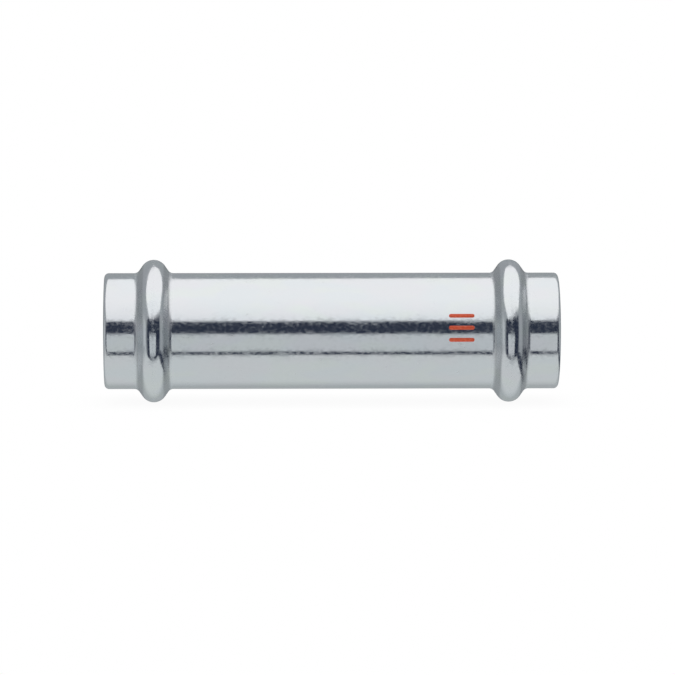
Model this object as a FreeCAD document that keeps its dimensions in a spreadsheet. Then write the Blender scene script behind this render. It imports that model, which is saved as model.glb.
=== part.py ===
"""Slip coupling for 22 mm steel pipe.

The body is one short length of zinc-plated steel tube. Near each mouth the tube is rolled out into a
seal bead, and a rubber seal ring is seated inside each bead. A press tool squeezes the tube on both
sides of the bead round the pipe. There is no stop inside, so the coupling can slide along a pipe.

The tube lies along X with its middle at the origin. Every length is in millimetres.
"""

import FreeCAD, Part
import enum
import math
import os

import Sketcher

# The driving sizes: name, value, what it measures.
SIZES = [
    ("length", 99.0, "mouth to mouth"),
    ("pipe_diameter", 22.0, "outside diameter of the pipe that goes in"),
    ("pipe_clearance", 0.15, "radial gap between the pipe and the bore"),
    ("wall", 1.5, "thickness of the tube"),
    ("bead_offset", 10.75, "mouth to the middle of the bead"),
    ("crest_thinning", 0.1, "wall lost where the bead is stretched outwards"),
    ("flank_lean", 35.0, "degrees that the sides of the bead lean away from upright"),
    ("foot_radius", 1.4, "hollow on the outside where the bead leaves the tube"),
    ("mouth_lead_in", 0.4, "chamfer on the inside of the mouth that guides the pipe"),
    ("mouth_land", 0.15, "flat ring left on the end face between its rounding and its chamfer"),
    ("seal_section", 3.0, "thickness of the seal ring"),
    ("seal_gap", 0.1, "radial gap between the pipe and the seal before pressing"),
    ("seal_clearance", 0.05, "gap between the seal and the crest of its groove"),
    ("leak_path_depth", 0.3, "depth of a leak path across the inside of the seal"),
    ("leak_path_radius", 2.5, "radius of the hollow that makes a leak path"),
    ("leak_path_count", 3, "leak paths round the seal"),
]

# What follows from the driving sizes: name, expression.
DERIVED = [
    ("half_length", "sizes.length / 2"),
    ("bead_x", "sizes.length / 2 - sizes.bead_offset"),
    ("bore_radius", "sizes.pipe_diameter / 2 + sizes.pipe_clearance"),
    ("outer_radius", "sizes.pipe_diameter / 2 + sizes.pipe_clearance + sizes.wall"),
    ("seal_radius", "sizes.seal_section / 2"),
    ("seal_ring_radius", "sizes.pipe_diameter / 2 + sizes.seal_gap + sizes.seal_section / 2"),
    ("groove_crest", "sizes.seal_section / 2 + sizes.seal_clearance"),
    ("groove_foot", "sizes.foot_radius + sizes.wall"),
    ("bead_crest", "sizes.seal_section / 2 + sizes.seal_clearance + sizes.wall - sizes.crest_thinning"),
    ("bead_foot", "sizes.foot_radius"),
    ("flank_slope", "90 - sizes.flank_lean"),
    ("mouth_rounding", "sizes.wall - sizes.mouth_lead_in - sizes.mouth_land"),
    ("leak_path_round", "sizes.leak_path_radius"),
    (
        "leak_path_centre",
        "sizes.pipe_diameter / 2 + sizes.seal_gap + sizes.leak_path_depth - sizes.leak_path_radius",
    ),
]


class Spot(enum.IntEnum):
    """The place on an edge that a sketch's constraint takes hold of."""

    START = 1
    END = 2
    CENTRE = 3


class Axis(enum.IntEnum):
    """A sketch's own two axes, as its constraints count them. The level one starts at the origin."""

    LEVEL = -1
    UPRIGHT = -2


ORIGIN = (Axis.LEVEL, Spot.START)

FULL_TURN = 360.0
SAME_PLACE = 1e-4  # mm
LEAST_CUT = 1e-3  # mm3


def make_sizes(doc):
    """The sheet of driving sizes, and the set of values that follow from them."""
    sheet = doc.addObject("Spreadsheet::Sheet", "sizes")
    for row, (alias, value, note) in enumerate(SIZES, start=1):
        sheet.set(f"A{row}", alias)
        sheet.set(f"B{row}", str(value))
        sheet.set(f"C{row}", note)
        sheet.setAlias(f"B{row}", alias)
    doc.recompute()
    derived = doc.addObject("App::VarSet", "derived")
    for name, expression in DERIVED:
        derived.addProperty("App::PropertyFloat", name)
        derived.setExpression(name, expression)
    doc.recompute()
    return derived


def own(body, role):
    """A plane or an axis of the body's own origin."""
    return next(feature for feature in body.Origin.OriginFeatures if feature.Role == role)


def new_sketch(body, name, plane):
    sketch = body.newObject("Sketcher::SketchObject", name)
    sketch.AttachmentSupport = [(own(body, plane), "")]
    sketch.MapMode = "FlatFace"
    return sketch


def point(x, y):
    return FreeCAD.Vector(x, y, 0)


def add_line(sketch, start, end):
    return sketch.addGeometry(Part.LineSegment(start, end), False)


def add_circle(sketch, centre, radius):
    return sketch.addGeometry(Part.Circle(centre, FreeCAD.Vector(0, 0, 1), radius), False)


def add_arc(sketch, centre, start, end):
    """An arc that runs anticlockwise from start to end."""
    circle = Part.Circle(centre, FreeCAD.Vector(0, 0, 1), (start - centre).Length)
    arc = Part.ArcOfCircle(circle, circle.parameter(start), circle.parameter(end))
    return sketch.addGeometry(arc, False)


def relate(sketch, kind, *where):
    sketch.addConstraint(Sketcher.Constraint(kind, *where))


def dimension(sketch, name, expression, now, kind, *where):
    """A named dimension that is drawn at its value now and follows an expression. Angles are in degrees."""
    drawn = math.radians(now) if kind == "Angle" else now
    index = sketch.addConstraint(Sketcher.Constraint(kind, *where, drawn))
    sketch.renameConstraint(index, name)
    sketch.setExpression(f"Constraints.{name}", expression)


def draw_side(sketch, derived, side, surface, crest, foot):
    """One side of the tube's wall, from its middle to a mouth: tube, bead and guide.

    The bead's crest is centred on the seal's section. A straight flank runs down from it on each side,
    and a hollow foot leads the flank into the straight wall. surface, crest and foot name derived values.
    Returns the tube's edge and the guide's edge.
    """
    surface_at, crest_radius, foot_radius = (getattr(derived, name) for name in (surface, crest, foot))
    slope = math.radians(derived.flank_slope)
    # Where a flank starts and ends, as its distance from the bead's middle and from the tube's axis.
    high = (crest_radius * math.sin(slope), derived.seal_ring_radius + crest_radius * math.cos(slope))
    low_at = surface_at + foot_radius * (1 - math.cos(slope))
    low = (high[0] + (high[1] - low_at) / math.tan(slope), low_at)
    spread = low[0] + foot_radius * math.sin(slope)
    foot_at = surface_at + foot_radius

    inner_foot = point(derived.bead_x - spread, surface_at)
    inner_low, inner_high = (point(derived.bead_x - away, radius) for away, radius in (low, high))
    outer_high, outer_low = (point(derived.bead_x + away, radius) for away, radius in (high, low))
    outer_foot = point(derived.bead_x + spread, surface_at)

    tube = add_line(sketch, point(0, surface_at), inner_foot)
    rising = add_arc(sketch, point(derived.bead_x - spread, foot_at), inner_foot, inner_low)
    inner_flank = add_line(sketch, inner_low, inner_high)
    top = add_arc(sketch, point(derived.bead_x, derived.seal_ring_radius), outer_high, inner_high)
    outer_flank = add_line(sketch, outer_high, outer_low)
    falling = add_arc(sketch, point(derived.bead_x + spread, foot_at), outer_low, outer_foot)
    guide = add_line(sketch, outer_foot, point(derived.half_length, surface_at))

    relate(sketch, "Horizontal", tube)
    relate(sketch, "Horizontal", guide)
    relate(sketch, "Tangent", tube, Spot.END, rising, Spot.START)
    relate(sketch, "Tangent", rising, Spot.END, inner_flank, Spot.START)
    relate(sketch, "Tangent", inner_flank, Spot.END, top, Spot.END)
    relate(sketch, "Tangent", top, Spot.START, outer_flank, Spot.START)
    relate(sketch, "Tangent", outer_flank, Spot.END, falling, Spot.START)
    relate(sketch, "Tangent", falling, Spot.END, guide, Spot.START)
    relate(sketch, "Equal", rising, falling)
    relate(sketch, "Equal", inner_flank, outer_flank)
    relate(sketch, "Horizontal", tube, Spot.START, guide, Spot.END)
    relate(sketch, "PointOnObject", tube, Spot.START, Axis.UPRIGHT)

    for name, value, kind, *where in (
        ("length", "half_length", "DistanceX", *ORIGIN, guide, Spot.END),
        ("surface", surface, "DistanceY", *ORIGIN, tube, Spot.START),
        ("bead_x", "bead_x", "DistanceX", *ORIGIN, top, Spot.CENTRE),
        ("ring", "seal_ring_radius", "DistanceY", *ORIGIN, top, Spot.CENTRE),
        ("crest", crest, "Radius", top),
        ("foot", foot, "Radius", rising),
        ("slope", "flank_slope", "Angle", inner_flank),
    ):
        dimension(sketch, f"{side}_{name}", f"derived.{value}", getattr(derived, value), kind, *where)
    return tube, guide


def close_side(sketch, first, first_end, second, second_end):
    """A straight edge that joins an end of one edge to an end of another."""
    start = sketch.getPoint(first, first_end)
    end = sketch.getPoint(second, second_end)
    edge = add_line(sketch, start, end)
    relate(sketch, "Coincident", first, first_end, edge, Spot.START)
    relate(sketch, "Coincident", edge, Spot.END, second, second_end)


def mouth_edges(feature, radius, derived):
    """The names of a feature's round edges at both mouths that have a radius."""
    return [
        f"Edge{number}"
        for number, edge in enumerate(feature.Shape.Edges, start=1)
        if isinstance(edge.Curve, Part.Circle)
        and abs(abs(edge.Curve.Center.x) - derived.half_length) < SAME_PLACE
        and abs(edge.Curve.Radius - radius) < SAME_PLACE
    ]


def make_coupling_body(doc, derived):
    """The plated steel tube: half of its wall in section, turned, mirrored and trimmed at the mouths."""
    body = doc.addObject("PartDesign::Body", "coupling_body")
    section = new_sketch(body, "wall_section", "XZ_Plane")
    outside = draw_side(section, derived, "outside", "outer_radius", "bead_crest", "bead_foot")
    inside = draw_side(section, derived, "inside", "bore_radius", "groove_crest", "groove_foot")
    close_side(section, outside[0], Spot.START, inside[0], Spot.START)
    close_side(section, outside[1], Spot.END, inside[1], Spot.END)

    turned = body.newObject("PartDesign::Revolution", "turned_half")
    turned.Profile = section
    turned.ReferenceAxis = (section, ["H_Axis"])
    turned.Angle = FULL_TURN

    both = body.newObject("PartDesign::Mirrored", "both_halves")
    both.Originals = [turned]
    both.MirrorPlane = (own(body, "YZ_Plane"), [""])
    body.Tip = both
    doc.recompute()

    rounding = body.newObject("PartDesign::Fillet", "mouth_rounding")
    rounding.Base = (both, mouth_edges(both, derived.outer_radius, derived))
    rounding.setExpression("Radius", "derived.mouth_rounding")
    doc.recompute()

    lead_in = body.newObject("PartDesign::Chamfer", "mouth_lead_in")
    lead_in.Base = (rounding, mouth_edges(rounding, derived.bore_radius, derived))
    lead_in.setExpression("Size", "sizes.mouth_lead_in")
    body.Tip = lead_in
    doc.recompute()
    return body


def draw_round(sketch, derived, height, radius):
    """A circle with its centre on the upright axis. height and radius name derived values."""
    circle = add_circle(sketch, point(0, getattr(derived, height)), getattr(derived, radius))
    relate(sketch, "PointOnObject", circle, Spot.CENTRE, Axis.UPRIGHT)
    for value, kind, *where in (
        (height, "DistanceY", *ORIGIN, circle, Spot.CENTRE),
        (radius, "Radius", circle),
    ):
        dimension(sketch, value, f"derived.{value}", getattr(derived, value), kind, *where)


def make_seal_ring(doc, derived, name, place):
    """A rubber ring of round section, with hollows across its inside.

    Until the tube is pressed the hollows let water out, so that a joint nobody pressed shows itself.
    """
    body = doc.addObject("PartDesign::Body", name)
    section = new_sketch(body, f"{name}_section", "XZ_Plane")
    draw_round(section, derived, "seal_ring_radius", "seal_radius")
    ring = body.newObject("PartDesign::Revolution", f"{name}_turned")
    ring.Profile = section
    ring.ReferenceAxis = (section, ["H_Axis"])
    ring.Angle = FULL_TURN
    doc.recompute()

    hollow = new_sketch(body, f"{name}_hollow", "YZ_Plane")
    draw_round(hollow, derived, "leak_path_centre", "leak_path_round")
    leak_path = body.newObject("PartDesign::Pocket", f"{name}_leak_path")
    leak_path.Profile = hollow
    leak_path.Type = "ThroughAll"
    leak_path.SideType = "Symmetric"

    leak_paths = body.newObject("PartDesign::PolarPattern", f"{name}_leak_paths")
    leak_paths.Originals = [leak_path]
    leak_paths.Axis = (own(body, "X_Axis"), [""])
    leak_paths.Angle = FULL_TURN
    leak_paths.setExpression("Occurrences", "sizes.leak_path_count")
    body.Tip = leak_paths
    body.setExpression("Placement.Base.x", place)
    doc.recompute()
    if body.Shape.Volume > ring.Shape.Volume - LEAST_CUT:
        raise RuntimeError(f"{name}: the leak paths cut nothing")
    return body


def check(doc, sub_parts):
    """Stops if a feature failed or a piece isn't one sound solid."""
    failed = [item.Name for item in doc.Objects if {"Invalid", "Error"} & set(item.State)]
    if failed:
        raise RuntimeError(f"these failed: {failed}")
    for piece in sub_parts:
        shape = piece.Shape
        if shape.isNull() or not shape.isValid() or len(shape.Solids) != 1:
            raise RuntimeError(f"{piece.Label} isn't one sound solid")


def main():
    doc = FreeCAD.newDocument("slip_coupling")
    derived = make_sizes(doc)
    sub_parts = [
        make_coupling_body(doc, derived),
        make_seal_ring(doc, derived, "seal_ring_left", "-derived.bead_x"),
        make_seal_ring(doc, derived, "seal_ring_right", "derived.bead_x"),
    ]
    check(doc, sub_parts)
    os.makedirs("parts", exist_ok=True)
    for piece in sub_parts:
        piece.Shape.exportStep(f"parts/{piece.Label}.step")
        box = piece.Shape.BoundBox
        print(
            f"{piece.Label}: {box.XLength:.3f} x {box.YLength:.3f} x {box.ZLength:.3f} mm,"
            f" {piece.Shape.Volume:.1f} mm3"
        )


main()
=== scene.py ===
"""Looks of a slip coupling for 22 mm steel pipe: zinc-plated tube, two rolled beads, two rubber seals.

The coupling lies along X, its middle at the origin, its printed mark towards -Y. Its sizes are in
millimetres until a mesh is made, and a turned piece is counted round from its front, with up at 90.
The studio and the camera are in metres.
"""

import math

import bpy
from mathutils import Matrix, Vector


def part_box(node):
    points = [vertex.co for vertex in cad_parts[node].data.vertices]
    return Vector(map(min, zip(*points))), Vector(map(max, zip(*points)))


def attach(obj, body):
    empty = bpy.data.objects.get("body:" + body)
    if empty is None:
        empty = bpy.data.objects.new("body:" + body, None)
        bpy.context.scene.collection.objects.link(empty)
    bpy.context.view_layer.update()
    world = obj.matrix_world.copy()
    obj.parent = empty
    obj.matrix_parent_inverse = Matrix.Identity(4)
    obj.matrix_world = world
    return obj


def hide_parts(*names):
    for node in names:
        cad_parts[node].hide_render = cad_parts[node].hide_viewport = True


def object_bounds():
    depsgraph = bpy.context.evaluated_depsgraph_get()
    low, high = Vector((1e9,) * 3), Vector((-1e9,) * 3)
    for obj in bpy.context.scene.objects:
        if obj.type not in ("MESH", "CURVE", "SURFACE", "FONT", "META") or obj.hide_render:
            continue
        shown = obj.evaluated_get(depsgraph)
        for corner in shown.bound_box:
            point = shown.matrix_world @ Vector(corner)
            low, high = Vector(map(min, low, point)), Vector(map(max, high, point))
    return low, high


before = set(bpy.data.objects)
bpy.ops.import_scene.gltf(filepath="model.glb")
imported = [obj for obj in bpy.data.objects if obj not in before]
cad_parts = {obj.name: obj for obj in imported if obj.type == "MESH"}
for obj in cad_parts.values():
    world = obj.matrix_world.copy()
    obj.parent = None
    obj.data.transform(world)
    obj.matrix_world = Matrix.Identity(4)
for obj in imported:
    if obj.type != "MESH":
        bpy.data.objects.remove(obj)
cad_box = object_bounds()

# ---- Coupling body ----------------------------------------------------------------------------
# One length of welded precision steel tube with a 1.5 mm wall. A roller forms each bead from inside,
# the mouths are then turned to length, and the finished piece is barrel-plated with bright zinc.

MM = 0.001

HALF_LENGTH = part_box("coupling_body")[1][0] / MM
BORE_RADIUS = 11.15
TUBE_RADIUS = 12.65
BEAD_X = 38.75
BEAD_RING = 12.6  # radius of the ring that the seal's and the bead's sections are centred on
BEAD_CREST, GROOVE_CREST = 2.95, 1.55
BEAD_FOOT, GROOVE_FOOT = 1.4, 2.9
FLANK_SLOPE = math.radians(55)  # of the bead's straight flanks, from the tube's wall
MOUTH_ROUNDING = 0.95
LEAD_IN = 0.4
BROKEN_EDGE = 0.05

TUBE_SPOKES = 192
OUTSIDE_STEPS = (10, 10, 36, 3)  # along the tube, round a foot, over the crest and along the guide
BORE_STEPS = (6, 8, 14, 3)
ROUNDING_STEPS = 10
CLOSE_RING = 0.1  # from a bend to the first ring of the straight wall beside it

SEAM_AT = 285.0  # degrees round from the front, where the weld runs along the bore
SEAM_HALF_WIDTH, SEAM_HEIGHT = 0.8, 0.04
SEAM_FALL = 1.5  # how steeply the weld falls off to its sides

OUTSIDE, RIM, BORE = 0, 1, 2


def arc(centre, radius, start, end, steps):
    """Points (x, r) of an arc, from one angle in degrees to another."""
    angles = [math.radians(start + (end - start) * step / steps) for step in range(steps + 1)]
    return [(centre[0] + radius * math.cos(a), centre[1] + radius * math.sin(a)) for a in angles]


def straight(start, end, steps=1):
    """Points (x, r) along a straight wall. A close ring at each end keeps its shine flat up to the bend."""
    start, end = Vector(start), Vector(end)
    ring = CLOSE_RING / (end - start).length
    shares = sorted({step / steps for step in range(steps + 1)} | {ring, 1 - ring})
    return [tuple(start.lerp(end, share)) for share in shares]


def eased(before, corner, after, by):
    """A corner with its edge taken off, as three points in place of one."""
    here = Vector(corner)
    into = here + (Vector(before) - here).normalized() * by
    out = here + (Vector(after) - here).normalized() * by
    return [tuple(point) for point in (into, (into + out + here * 2) / 4, out)]


def wall_side(surface, crest, foot, end, steps):
    """One side of the wall from the tube's middle to its mouth: tube, foot, flank, crest and back down."""
    slope = math.degrees(FLANK_SLOPE)
    high = BEAD_RING + crest * math.cos(FLANK_SLOPE)
    low = surface + foot * (1 - math.cos(FLANK_SLOPE))
    spread = (crest + foot) * math.sin(FLANK_SLOPE) + (high - low) / math.tan(FLANK_SLOPE)
    along, bend, over, guide = steps
    rising = arc((BEAD_X - spread, surface + foot), foot, -90, slope - 90, bend)
    top = arc((BEAD_X, BEAD_RING), crest, 90 + slope, 90 - slope, over)
    falling = arc((BEAD_X + spread, surface + foot), foot, 270 - slope, 270, bend)
    return [
        *straight((0, surface), rising[0], along),
        *rising[1:],
        *straight(rising[-1], top[0])[1:],
        *top[1:],
        *straight(top[-1], falling[0])[1:],
        *falling[1:],
        *straight(falling[-1], (end, surface), guide)[1:],
    ]


def round_x(x, radius, angle):
    """A point at x along the tube, at a radius from its axis and an angle round it. It is in metres."""
    return x * MM, -radius * math.cos(angle) * MM, radius * math.sin(angle) * MM


def new_mesh(name, vertices, faces):
    """A mesh made of these points and faces."""
    mesh = bpy.data.meshes.new(name)
    mesh.from_pydata(vertices, [], faces)
    return mesh


def new_object(name, data):
    """Puts a mesh, a light or a camera in the scene."""
    piece = bpy.data.objects.new(name, data)
    bpy.context.scene.collection.objects.link(piece)
    return piece


def turned(name, profile, spokes, shape):
    """A closed profile of (x, r) points turned round X into a mesh with one vertex ring for each point.

    shape(index, angle, radius) returns the radius that the ring has at that angle.
    """
    vertices = []
    for index, (x, radius) in enumerate(profile):
        for spoke in range(spokes):
            angle = math.tau * spoke / spokes
            vertices.append(round_x(x, shape(index, angle, radius), angle))
    rings = len(profile)
    faces = [
        (
            ring * spokes + spoke,
            (ring + 1) % rings * spokes + spoke,
            (ring + 1) % rings * spokes + (spoke + 1) % spokes,
            ring * spokes + (spoke + 1) % spokes,
        )
        for ring in range(rings)
        for spoke in range(spokes)
    ]
    mesh = new_mesh(name, vertices, faces)
    mesh.shade_smooth()
    return new_object(name, mesh)


rounding_x, rounding_r = HALF_LENGTH - MOUTH_ROUNDING, TUBE_RADIUS - MOUTH_ROUNDING
outside = [
    *wall_side(TUBE_RADIUS, BEAD_CREST, BEAD_FOOT, rounding_x, OUTSIDE_STEPS),
    *arc((rounding_x, rounding_r), MOUTH_ROUNDING, 90, 0, ROUNDING_STEPS)[1:],
]
bore_end = HALF_LENGTH - LEAD_IN - BROKEN_EDGE
inside = wall_side(BORE_RADIUS, GROOVE_CREST, GROOVE_FOOT, bore_end, BORE_STEPS)
face_edge = (HALF_LENGTH, BORE_RADIUS + LEAD_IN)
bore_edge = (HALF_LENGTH - LEAD_IN, BORE_RADIUS)
rim = [
    *eased(outside[-1], face_edge, bore_edge, BROKEN_EDGE),
    *eased(face_edge, bore_edge, inside[-1], BROKEN_EDGE)[:2],
]
half_wall = outside + rim + inside[::-1]
half_finish = [OUTSIDE] * (len(outside) - 1) + [RIM] * len(rim) + [BORE] * len(inside)
wall = half_wall + [(-x, r) for x, r in half_wall[-2:0:-1]]
finish = half_finish + half_finish[::-1]
welded = {index for index in range(len(wall)) if finish[index] == BORE and finish[index - 1] == BORE}


def weld_seam(index, angle, radius):
    """Lowers the bore over the weld, which a scarfing tool has left nearly flush."""
    if index not in welded:
        return radius
    turn = (math.degrees(angle) - SEAM_AT + 180) % 360 - 180
    away = math.radians(abs(turn)) * radius
    swell = math.cos(min(away / SEAM_HALF_WIDTH, 1) * math.pi / 2)
    return radius - SEAM_HEIGHT * swell**SEAM_FALL


tube = turned("plated_tube", wall, TUBE_SPOKES, weld_seam)
for ring, kind in enumerate(finish):
    for spoke in range(TUBE_SPOKES):
        tube.data.polygons[ring * TUBE_SPOKES + spoke].material_index = kind


def add_node(tree, kind, sockets=None, **settings):
    """A node with its settings. A socket takes a constant, or another node's output to link from."""
    node = tree.nodes.new(kind)
    for name, value in settings.items():
        setattr(node, name, value)
    for name, value in (sockets or {}).items():
        if isinstance(value, bpy.types.NodeSocket):
            tree.links.new(value, node.inputs[name])
        else:
            node.inputs[name].default_value = value
    return node


def sums(tree, operation, *values):
    """The output of a Math node."""
    return add_node(tree, "ShaderNodeMath", dict(enumerate(values)), operation=operation).outputs[0]


def ramp(tree, value, low, high, to_low=0.0, to_high=1.0):
    """A value's range from low to high, mapped to another and held at its ends."""
    sockets = {"Value": value, "From Min": low, "From Max": high, "To Min": to_low, "To Max": to_high}
    return add_node(tree, "ShaderNodeMapRange", sockets).outputs["Result"]


def blend_colour(tree, factor, first, second):
    """Mixes two colours."""
    node = add_node(tree, "ShaderNodeMix", {"Factor": factor}, data_type="RGBA")
    places = {socket.identifier: socket for socket in node.inputs}
    for identifier, value in (("A_Color", first), ("B_Color", second)):
        if isinstance(value, bpy.types.NodeSocket):
            tree.links.new(value, places[identifier])
        else:
            places[identifier].default_value = value
    return next(socket for socket in node.outputs if socket.identifier == "Result_Color")


def on_object(tree):
    """The place on the object, in metres from its origin."""
    return add_node(tree, "ShaderNodeTexCoord").outputs["Object"]


def split(tree, place):
    """A place's X, Y and Z."""
    return add_node(tree, "ShaderNodeSeparateXYZ", {"Vector": place}).outputs


def join(tree, x, y, z):
    """A place from its X, Y and Z."""
    return add_node(tree, "ShaderNodeCombineXYZ", {"X": x, "Y": y, "Z": z}).outputs["Vector"]


def noise(tree, place, scale, detail):
    """The outputs of soft noise: Fac and Color."""
    sockets = {"Vector": place, "Scale": scale, "Detail": detail}
    return add_node(tree, "ShaderNodeTexNoise", sockets).outputs


def new_group(name, inputs, outputs):
    """A shader node group with named sockets. Returns it with its inside ends."""
    group = bpy.data.node_groups.new(name, "ShaderNodeTree")
    kinds = {float: "NodeSocketFloat", tuple: "NodeSocketColor"}
    for label, default in inputs.items():
        socket = group.interface.new_socket(label, in_out="INPUT", socket_type=kinds[type(default)])
        socket.default_value = default
    for label, kind in outputs.items():
        group.interface.new_socket(label, in_out="OUTPUT", socket_type=kinds[kind])
    return group, group.nodes.new("NodeGroupInput").outputs, group.nodes.new("NodeGroupOutput").inputs


def use(tree, group, sockets, output):
    """Places a group in a tree with its own values, and returns one of its outputs."""
    return add_node(tree, "ShaderNodeGroup", sockets, node_tree=group).outputs[output]


# Grain: soft noise that is as long along the tube, and as wide across it, as it is told in mm.
GRAIN_SIZES = {"Along": 1.0, "Across": 1.0, "Detail": 2.0, "Shift": 0.0}
grain, ends, out = new_group("grain", GRAIN_SIZES, {"Value": float})
place = split(grain, on_object(grain))
along = sums(grain, "DIVIDE", place["X"], sums(grain, "MULTIPLY", ends["Along"], MM))
across = sums(grain, "MULTIPLY", ends["Across"], MM)
place = join(
    grain,
    sums(grain, "ADD", along, ends["Shift"]),
    sums(grain, "DIVIDE", place["Y"], across),
    sums(grain, "DIVIDE", place["Z"], across),
)
grain.links.new(noise(grain, place, 1.0, ends["Detail"])["Fac"], out["Value"])

# Rings: fine lines that run round the tube, left by a roller, a turning tool or a mould. Width is in
# mm, and Breaks says how often a line breaks off over one BREAK_SPAN of height.
BREAK_SPAN = 12.0
RING_DETAIL = 3.0
rings, ends, out = new_group("rings", {"Width": 0.2, "Breaks": 0.15}, {"Value": float})
place = split(rings, on_object(rings))
squares = [sums(rings, "POWER", place[axis], 2.0) for axis in ("Y", "Z")]
radius = sums(rings, "SQRT", sums(rings, "ADD", *squares))
width = sums(rings, "MULTIPLY", ends["Width"], MM)
breaks = sums(rings, "MULTIPLY", ends["Breaks"], 1 / (MM * BREAK_SPAN))
place = join(
    rings,
    sums(rings, "DIVIDE", place["X"], width),
    sums(rings, "DIVIDE", radius, width),
    sums(rings, "MULTIPLY", place["Z"], breaks),
)
rings.links.new(noise(rings, place, 1.0, RING_DETAIL)["Fac"], out["Value"])

# Scuffs: thin handling scratches from the plating barrel, sparse and in no one direction. Spacing and
# Width are in mm, and Share says how much of the surface keeps them.
BEND_SCALE, BEND_DETAIL, BEND_REACH = 90.0, 1.0, 0.006  # soft noise bends the scratches by up to 6 mm
KEEP_SCALE, KEEP_DETAIL, KEEP_TOP = 260.0, 2.0, 0.75  # a second noise keeps them only here and there
scuffs, ends, out = new_group("scuffs", {"Spacing": 6.0, "Width": 0.02, "Share": 0.5}, {"Mask": float})
place = on_object(scuffs)
bent = noise(scuffs, place, BEND_SCALE, BEND_DETAIL)["Color"]
reach = (BEND_REACH, BEND_REACH, BEND_REACH)
bend = add_node(scuffs, "ShaderNodeVectorMath", {0: bent, 1: reach, 2: place}, operation="MULTIPLY_ADD")
place = bend.outputs[0]
spacing = sums(scuffs, "MULTIPLY", ends["Spacing"], MM)
cells = {"Vector": place, "Scale": sums(scuffs, "DIVIDE", 1.0, spacing)}
cracks = add_node(scuffs, "ShaderNodeTexVoronoi", cells, feature="DISTANCE_TO_EDGE").outputs["Distance"]
thickness = sums(scuffs, "DIVIDE", ends["Width"], ends["Spacing"])
line = sums(scuffs, "SUBTRACT", 1.0, sums(scuffs, "DIVIDE", cracks, thickness))
line = sums(scuffs, "MAXIMUM", line, 0.0)
kept = noise(scuffs, place, KEEP_SCALE, KEEP_DETAIL)["Fac"]
kept = ramp(scuffs, kept, sums(scuffs, "SUBTRACT", KEEP_TOP, ends["Share"]), KEEP_TOP)
scuffs.links.new(sums(scuffs, "MULTIPLY", line, kept), out["Mask"])

# Film: the thin passivation film, which drifts between a lilac, a blue and a green cast.
LILAC, BLUE, GREEN = (0.83, 0.80, 0.90, 1.0), (0.74, 0.83, 0.92, 1.0), (0.80, 0.89, 0.84, 1.0)
film, ends, out = new_group("film", {"Zinc": (0.9, 0.92, 0.93, 1.0), "Strength": 0.3}, {"Color": tuple})
drift = use(film, grain, {"Along": 14.0, "Across": 6.0, "Detail": 1.0}, "Value")
second = use(film, grain, {"Along": 9.0, "Across": 4.0, "Detail": 1.0, "Shift": 31.0}, "Value")
cast = blend_colour(film, ramp(film, drift, 0.4, 0.6), LILAC, BLUE)
cast = blend_colour(film, ramp(film, second, 0.5, 0.68), cast, GREEN)
tinted = blend_colour(film, ends["Strength"], ends["Zinc"], cast)
film.links.new(tinted, out["Color"])


def new_material(name, sockets):
    """A material with its tree and its Principled shader, on which these sockets are set."""
    material = bpy.data.materials.new(name)
    material.use_nodes = True
    shader = material.node_tree.nodes["Principled BSDF"]
    for label, value in sockets.items():
        shader.inputs[label].default_value = value
    return material, material.node_tree, shader


def stack(tree, layers, base):
    """Adds layers (mask, amount) to a value."""
    for mask, amount in layers:
        base = sums(tree, "MULTIPLY_ADD", mask, amount, base)
    return base


def connect(tree, shader, colour, roughness, height):
    """Feeds the shader. The height is in millimetres."""
    bump = add_node(tree, "ShaderNodeBump", {"Height": height, "Distance": MM, "Strength": 1.0})
    for name, source in (("Base Color", colour), ("Roughness", roughness), ("Normal", bump.outputs[0])):
        tree.links.new(source, shader.inputs[name])


def band(tree, distance, at, outer, inner):
    """1 where a distance is within inner mm of a place, and fading to 0 at outer mm from it."""
    away = sums(tree, "ABSOLUTE", sums(tree, "SUBTRACT", distance, at * MM))
    return ramp(tree, away, outer * MM, inner * MM)


ZINC, DULL_ZINC = (0.90, 0.92, 0.935, 1.0), (0.66, 0.675, 0.69, 1.0)
BLACK, HAZE_GREY = (0.0, 0.0, 0.0, 1.0), (0.5, 0.51, 0.52, 1.0)
FLANK_AT, FOOT_AT = 2.9, 3.7  # from a bead's middle to its flanks and feet, which the roller dulled
FLANK_PAINTED_SHADE = 0.25  # how far the zinc on the flanks is darkened towards black, as painted shade
MOUTH_DULL = (0.9, 0.7)  # in from the mouth, where the zinc starts to be duller and where it is
BRIGHT_ROUGHNESS = 0.095

# The outside is bright and nearly a mirror. It sways a little over the tube's length, and has a finer
# waviness drawn out along the tube. Crests, flanks, feet and mouths are rougher, as tools touched them, and
# the flanks' zinc is also darkened as painted shade.
plating, tree, shader = new_material("bright_zinc", {"Metallic": 1.0})
sway = use(tree, grain, {"Along": 16.0, "Across": 5.0, "Detail": 1.0, "Shift": 3.0}, "Value")
wave = use(tree, grain, {"Along": 2.76, "Across": 1.03, "Detail": 1.5}, "Value")
peel = use(tree, grain, {"Along": 0.92, "Across": 0.48, "Detail": 1.0, "Shift": 7.0}, "Value")
patches = use(tree, grain, {"Along": 5.0, "Across": 2.2, "Detail": 3.0, "Shift": 19.0}, "Value")
specks = use(tree, grain, {"Along": 0.85, "Across": 0.52, "Detail": 1.5, "Shift": 43.0}, "Value")
marks = use(tree, scuffs, {"Spacing": 7.0, "Width": 0.05, "Share": 0.16}, "Mask")
rolled = use(tree, rings, {"Width": 0.35, "Breaks": 0.2}, "Value")
haze = ramp(tree, patches, 0.5, 0.75)
pits = ramp(tree, specks, 0.36, 0.72)
from_middle = sums(tree, "ABSOLUTE", split(tree, on_object(tree))["X"])
from_bead = sums(tree, "ABSOLUTE", sums(tree, "SUBTRACT", from_middle, BEAD_X * MM))
on_bead = band(tree, from_bead, at=0, outer=4.3, inner=3.0)
on_crest = band(tree, from_bead, at=0, outer=0.5, inner=0.1)
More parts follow.
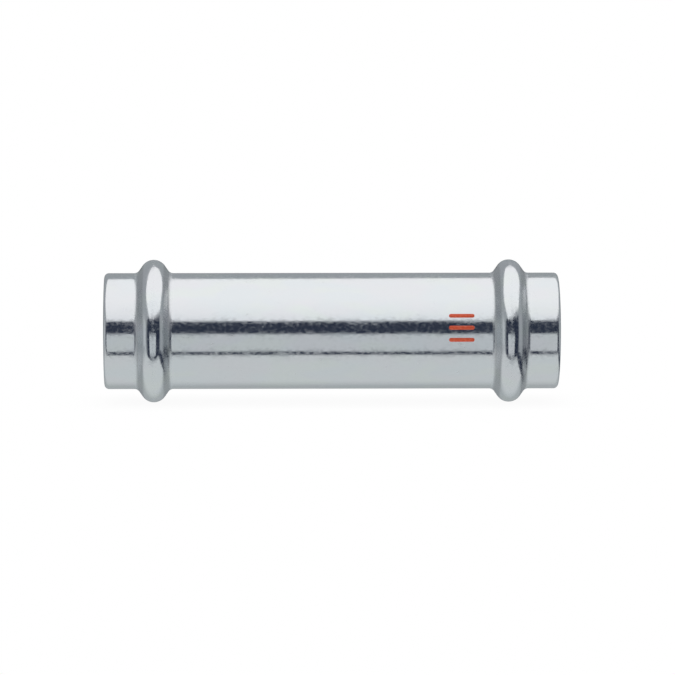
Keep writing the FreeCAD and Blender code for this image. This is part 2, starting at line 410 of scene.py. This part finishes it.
on_flank = band(tree, from_bead, at=FLANK_AT, outer=0.9, inner=0.5)
on_foot = band(tree, from_bead, at=FOOT_AT, outer=0.5, inner=0.25)
at_mouth = ramp(tree, from_middle, *((HALF_LENGTH - inset) * MM for inset in MOUTH_DULL))
colour = use(tree, film, {"Zinc": ZINC, "Strength": 0.22}, "Color")
# Painted shade: the zinc on the flanks is darkened towards black, on top of their rougher rolled finish.
colour = blend_colour(tree, sums(tree, "MULTIPLY", on_flank, FLANK_PAINTED_SHADE), colour, BLACK)
rolled_lines = sums(tree, "MULTIPLY", rolled, on_bead)
height = stack(
    tree, [(wave, 0.0063), (sway, 0.03), (peel, 0.0023), (rolled_lines, 0.0006), (marks, -0.001)], 0.0
)
roughness = stack(tree, [(haze, 0.08), (pits, 0.14)], BRIGHT_ROUGHNESS)
roughness = stack(tree, [(on_crest, 0.08), (on_flank, 0.1), (on_foot, 0.15)], roughness)
roughness = stack(tree, [(at_mouth, 0.05), (marks, 0.1)], roughness)
connect(tree, shader, colour, roughness, height)
tube.data.materials.append(plating)

# The rim was turned, so fine tool lines run round it under the zinc.
turned_rim, tree, shader = new_material("turned_zinc", {"Metallic": 1.0})
colour = use(tree, film, {"Zinc": ZINC, "Strength": 0.35}, "Color")
lines = use(tree, rings, {"Width": 0.06, "Breaks": 0.05}, "Value")
nicks = use(tree, grain, {"Along": 0.4, "Across": 0.5, "Detail": 3.0}, "Value")
roughness = ramp(tree, nicks, 0.3, 0.75, 0.16, 0.34)
connect(tree, shader, colour, roughness, stack(tree, [(nicks, 0.004), (lines, 0.004)], 0.0))
tube.data.materials.append(turned_rim)

# The bore gets less zinc, and keeps the lines of the tube mill and a faint grey haze.
bore_zinc, tree, shader = new_material("bore_zinc", {"Metallic": 1.0})
colour = use(tree, film, {"Zinc": DULL_ZINC, "Strength": 0.35}, "Color")
cloud = use(tree, grain, {"Along": 6.0, "Across": 2.5, "Detail": 4.0, "Shift": 11.0}, "Value")
colour = blend_colour(tree, ramp(tree, cloud, 0.4, 0.7, 0.0, 0.5), colour, HAZE_GREY)
mill = use(tree, grain, {"Along": 9.0, "Across": 0.12, "Detail": 3.0}, "Value")
roughness = ramp(tree, cloud, 0.3, 0.75, 0.22, 0.42)
connect(tree, shader, colour, roughness, stack(tree, [(cloud, 0.01), (mill, 0.006)], 0.0))
tube.data.materials.append(bore_zinc)

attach(tube, "root")
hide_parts("coupling_body")

# ---- Seal rings -------------------------------------------------------------------------------
# Two moulded rings of black rubber, 3 mm thick, seated inside the beads. Three shallow hollows cross
# the inside of each, so that a joint nobody has pressed still leaks and is found out.

SEAL_RADIUS = 1.5
HOLLOW_CENTRE, HOLLOW_RADIUS = 8.9, 2.5
HOLLOW_ANGLES = [math.radians(angle) for angle in (90, 210, 330)]
SEAL_SPOKES = 240
SEAL_STEPS = 48
RUBBER_BLACK, BLOOM_GREY = (0.011, 0.011, 0.012, 1.0), (0.03, 0.03, 0.031, 1.0)


def seal_section(x):
    """The ring's round section, with its centre at x."""
    points = []
    for step in range(SEAL_STEPS):
        angle = math.tau * step / SEAL_STEPS
        points.append((x + SEAL_RADIUS * math.cos(angle), BEAD_RING - SEAL_RADIUS * math.sin(angle)))
    return points


def leak_paths(index, angle, radius):
    """Opens the ring where a hollow crosses it."""
    for middle in HOLLOW_ANGLES:
        aside = HOLLOW_CENTRE * math.sin(angle - middle)
        if abs(aside) < HOLLOW_RADIUS and math.cos(angle - middle) > 0:
            reach = HOLLOW_CENTRE * math.cos(angle - middle) + math.sqrt(HOLLOW_RADIUS**2 - aside**2)
            radius = max(radius, reach)
    return radius


rubber, tree, shader = new_material("seal_rubber_black", {"Specular IOR Level": 0.45})
speckle = use(tree, grain, {"Along": 0.3, "Across": 0.3, "Detail": 3.0}, "Value")
bloom = use(tree, grain, {"Along": 3.0, "Across": 3.0, "Detail": 2.0, "Shift": 5.0}, "Value")
mould = use(tree, rings, {"Width": 0.12, "Breaks": 0.03}, "Value")
colour = blend_colour(tree, ramp(tree, bloom, 0.45, 0.75, 0.0, 0.6), RUBBER_BLACK, BLOOM_GREY)
roughness = ramp(tree, speckle, 0.3, 0.7, 0.34, 0.5)
connect(tree, shader, colour, roughness, stack(tree, [(speckle, 0.003), (mould, 0.004)], 0.0))

for side, x in (("left", -BEAD_X), ("right", BEAD_X)):
    seal = turned(f"rubber_seal_{side}", seal_section(x), SEAL_SPOKES, leak_paths)
    seal.data.materials.append(rubber)
    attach(seal, "root")
    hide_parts(f"seal_ring_{side}")

# ---- Printed mark -----------------------------------------------------------------------------
# Three short dashes printed in red ink on the front, near the right bead. They are a plain mark of
# this model's own, and show which side was printed. The ink dries about 0.02 mm thick.

MARK_X, MARK_ANGLE = 28.0, 7.7  # the middle dash's place, in mm along the tube and degrees round it
DASH_LENGTH, DASH_WIDTH, DASH_PITCH = 5.6, 0.87, 2.62
INK_THICKNESS = 0.02
INK_SUNK = 0.01
INK_TAPER = 0.97  # of the dash's size, at its top
DASH_STEPS = 8
SHARP_EDGE = math.radians(40)
RED, THIN_RED = (0.694, 0.089, 0.037, 1.0), (0.78, 0.17, 0.09, 1.0)


def dash_outline():
    """The outline of one dash with round ends, (along, across) in mm."""
    end, radius = DASH_LENGTH / 2 - DASH_WIDTH / 2, DASH_WIDTH / 2
    return arc((end, 0), radius, -90, 90, DASH_STEPS) + arc((-end, 0), radius, 90, 270, DASH_STEPS)


def dash(angle):
    """Vertices and faces of one dash wrapped on the tube: top, sides and a base just under the zinc."""
    outline = dash_outline()
    count = len(outline)
    vertices = []
    for radius, size in ((TUBE_RADIUS - INK_SUNK, 1.0), (TUBE_RADIUS + INK_THICKNESS, INK_TAPER)):
        for along, across in outline:
            turn = math.radians(angle) + across * size / TUBE_RADIUS
            vertices.append(round_x(MARK_X + along * size, radius, turn))
    sides = [(i, (i + 1) % count, (i + 1) % count + count, i + count) for i in range(count)]
    strips = [(i, i + 1, count - 2 - i, count - 1 - i) for i in range(DASH_STEPS)]
    top = [tuple(index + count for index in strip) for strip in strips]
    base = [tuple(reversed(strip)) for strip in strips]
    return vertices, sides + top + base


vertices, faces = [], []
for row in (-1, 0, 1):
    dash_vertices, dash_faces = dash(MARK_ANGLE + math.degrees(row * DASH_PITCH / TUBE_RADIUS))
    faces += [tuple(index + len(vertices) for index in face) for face in dash_faces]
    vertices += dash_vertices
mesh = new_mesh("red_dashes", vertices, faces)
mesh.shade_smooth()
mesh.set_sharp_from_angle(angle=SHARP_EDGE)
mark = new_object("red_dashes", mesh)

ink, tree, shader = new_material("red_ink_print", {"Metallic": 0.3})
cover = use(tree, grain, {"Along": 0.5, "Across": 0.3, "Detail": 3.0}, "Value")
colour = blend_colour(tree, ramp(tree, cover, 0.42, 0.75), RED, THIN_RED)
roughness = ramp(tree, cover, 0.3, 0.7, 0.3, 0.42)
connect(tree, shader, colour, roughness, sums(tree, "MULTIPLY", cover, 0.003))
mark.data.materials.append(ink)
mark.visible_glossy = False  # otherwise the bead beside it shows three red specks

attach(mark, "root")

# ---- Studio -----------------------------------------------------------------------------------
# A white sweep, one soft light overhead, and the grey and black cards that bright metal is
# photographed between. Only the coupling's reflections see the cards and the table.


def shining(name):
    """A material with an empty tree, for a sheet that only shines."""
    paint = bpy.data.materials.new(name)
    paint.use_nodes = True
    paint.node_tree.nodes.clear()
    return paint, paint.node_tree


def card(name, corners, radiance, *fades):
    """A flat sheet that shines on the coupling and that the camera doesn't see.

    Each fade (axis, start, end, radiance) turns it into another radiance between two places.
    """
    sheet = new_object(name, new_mesh(name, corners, [range(len(corners))]))
    paint, tree = shining(name)
    place = split(tree, on_object(tree))
    colour = (*radiance, 1.0)
    for axis, start, end, other in fades:
        colour = blend_colour(tree, ramp(tree, place[axis], start, end), colour, (*other, 1.0))
    glow = add_node(tree, "ShaderNodeEmission", {"Color": colour, "Strength": 1.0})
    add_node(tree, "ShaderNodeOutputMaterial", {"Surface": glow.outputs[0]})
    sheet.data.materials.append(paint)
    sheet.visible_camera = False
    sheet.visible_shadow = False


def upright(y, left, right, low, high):
    """Corners of a card that faces along Y."""
    return [(left, y, low), (right, y, low), (right, y, high), (left, y, high)]


def flat(z, outline):
    """Corners of a card that lies level, from its (x, y) outline."""
    return [(x, y, z) for x, y in outline]


ROOM = (0.312, 0.332, 0.346)
LEFT_WALL = (0.487, 0.511, 0.524)
DARK = (0.021, 0.028, 0.048)
GREY = (0.496, 0.521, 0.534)
DIM = (0.12, 0.13, 0.14)
DARK_Y, WALL_X, WALL_LOW = -1.3, -3.5, -1.55  # the dark card and the left wall meet in a corner

card("grey_card", upright(y=-1.2, left=-0.665, right=0.58, low=-0.895, high=-0.023), GREY)
dark_outline = [(WALL_X, WALL_LOW), (4.0, WALL_LOW), (4.0, 1.7), (1.2, 0.7), (WALL_X, 0.62)]
card(
    "dark_card",
    [(x, DARK_Y, z) for x, z in dark_outline],
    DARK,
    ("X", -1.2, -2.8, LEFT_WALL),
    ("X", 1.9, 3.0, ROOM),
)
wall_outline = [(DARK_Y, WALL_LOW), (DARK_Y, 1.3), (0.5, 1.3), (0.5, WALL_LOW)]
card(
    "left_wall",
    [(WALL_X, y, z) for y, z in wall_outline],
    LEFT_WALL,
    ("Y", -1.1, 0.35, ROOM),
    ("Z", 0.7, 1.3, ROOM),
)
card("dim_behind", upright(y=0.9, left=-1.2, right=1.2, low=-0.10, high=0.08), DIM)

TABLE, TABLE_FAR = (0.554, 0.579, 0.580), (0.381, 0.407, 0.412)
TABLE_LEFT, TABLE_FRONT, TABLE_BACK, TABLE_Z = -1.2, -0.3185, 0.75, -0.30
table_side = [
    (0.37, TABLE_FRONT),
    (0.40, -0.15),
    (0.425, 0.0),
    (0.46, 0.13),
    (0.52, 0.3),
    (0.5, TABLE_BACK),
]
edge_side = [(0.78, TABLE_BACK), (0.80, 0.2), (0.77, -0.15), (0.66, TABLE_FRONT)]
card(
    "light_table",
    flat(TABLE_Z, [(TABLE_LEFT, TABLE_FRONT), *table_side, (TABLE_LEFT, TABLE_BACK)]),
    TABLE,
    ("Y", 0.12, 0.32, TABLE_FAR),
    ("X", -0.5, -0.95, ROOM),
)
card("table_edge", flat(TABLE_Z, [*table_side, *edge_side]), DARK)

# The softbox: a cloth that the metal sees, hung to the outline of its reflection, and a lamp behind it.
CLOTH, CLOTH_FRONT = (0.895, 0.899, 0.896), (0.752, 0.780, 0.789)
BOX_LEFT, BOX_RIGHT, BOX_FRONT, BOX_BACK, BOX_Z = -0.36, 0.45, -0.627, 0.265, 0.28
LAMP_WATTS = 1.8
cloth_outline = [
    (BOX_LEFT, BOX_FRONT),
    (-0.365, -0.3),
    (-0.355, -0.08),
    (-0.30, 0.02),
    (-0.215, 0.085),
    (-0.12, 0.17),
    (-0.06, 0.232),
    (0.01, 0.247),
    (0.07, BOX_BACK),
    (0.33, 0.28),
    (0.395, 0.22),
    (0.41, 0.08),
    (BOX_RIGHT, -0.06),
    (0.50, -0.2),
    (0.20, -0.47),
    (0.10, BOX_FRONT),
]
card("softbox_cloth", flat(BOX_Z, cloth_outline), CLOTH, ("Y", -0.10, BOX_FRONT, CLOTH_FRONT))
lamp = bpy.data.lights.new("softbox", "AREA")
lamp.shape = "RECTANGLE"
lamp.size, lamp.size_y = BOX_RIGHT - BOX_LEFT, BOX_BACK - BOX_FRONT
lamp.energy = LAMP_WATTS
softbox = new_object("softbox", lamp)
softbox.location = ((BOX_LEFT + BOX_RIGHT) / 2, (BOX_FRONT + BOX_BACK) / 2, BOX_Z)
softbox.visible_camera = False
softbox.visible_glossy = False  # metal sees the cloth, and this lights what isn't metal

# The sweep: white paper that the coupling lies on, glowing evenly, with a painted contact shadow that makes
# it a shade darker only where they come close.
FLOOR_Z, FLOOR_REACH = cad_box[0][2], 6.0
CONTACT_REACH, PAINTED_SHADOW_LEVEL, CONTACT_SAMPLES = 0.012, 0.95, 16
corners = flat(FLOOR_Z, [(x * FLOOR_REACH, y * FLOOR_REACH) for x, y in ((-1, -1), (1, -1), (1, 1), (-1, 1))])
floor = new_object("floor", new_mesh("floor", corners, [range(len(corners))]))
paper, tree = shining("white_sweep")
# Painted shadow: the paper's glow is dimmed where the coupling comes close to it.
painted_contact_shadow = add_node(
    tree, "ShaderNodeAmbientOcclusion", {"Distance": CONTACT_REACH}, samples=CONTACT_SAMPLES
).outputs["AO"]
glow = add_node(tree, "ShaderNodeEmission", {"Strength": ramp(tree, painted_contact_shadow, 0.0, 1.0, PAINTED_SHADOW_LEVEL, 1.0)})
add_node(tree, "ShaderNodeOutputMaterial", {"Surface": glow.outputs[0]})
floor.data.materials.append(paper)
floor.visible_glossy = False
floor.visible_shadow = False

# The room: grey to the coupling's reflections, white to the camera.
world = bpy.data.worlds.new("studio")
bpy.context.scene.world = world
world.use_nodes = True
tree = world.node_tree
tree.nodes.clear()
room = add_node(tree, "ShaderNodeBackground", {"Color": (*ROOM, 1.0)})
backdrop = add_node(tree, "ShaderNodeBackground", {"Color": (1.0, 1.0, 1.0, 1.0)})
by_camera = add_node(tree, "ShaderNodeLightPath").outputs["Is Camera Ray"]
seen = add_node(tree, "ShaderNodeMixShader", {0: by_camera, 1: room.outputs[0], 2: backdrop.outputs[0]})
add_node(tree, "ShaderNodeOutputWorld", {"Surface": seen.outputs[0]})

# ---- Camera -----------------------------------------------------------------------------------
# A long lens, nearly level and nearly square to the tube. It aims a little to the right of and below
# the coupling's middle, which puts the coupling where it is in the frame.

AZIMUTH, ELEVATION = math.radians(-1.1), math.radians(5.0)
DISTANCE = 1.05
AIM_RIGHT, AIM_DOWN = 1.364 * MM, 1.47 * MM
FOCAL_LENGTH, SENSOR_WIDTH = 256.2, 36.0
CLIP_NEAR, CLIP_FAR = 0.01, 20.0

back = Vector(
    (
        math.sin(AZIMUTH) * math.cos(ELEVATION),
        -math.cos(AZIMUTH) * math.cos(ELEVATION),
        math.sin(ELEVATION),
    )
)
right = Vector((math.cos(AZIMUTH), math.sin(AZIMUTH), 0.0))
up = back.cross(right)
aim = right * AIM_RIGHT - up * AIM_DOWN
lens = bpy.data.cameras.new("camera")
lens.lens = FOCAL_LENGTH
lens.sensor_width = SENSOR_WIDTH
lens.clip_start, lens.clip_end = CLIP_NEAR, CLIP_FAR
camera = new_object("camera", lens)
camera.location = aim + back * DISTANCE
camera.rotation_mode = "QUATERNION"
camera.rotation_quaternion = (-back).to_track_quat("-Z", "Y")
bpy.context.scene.camera = camera
bpy.context.scene.view_settings.view_transform = "Standard"
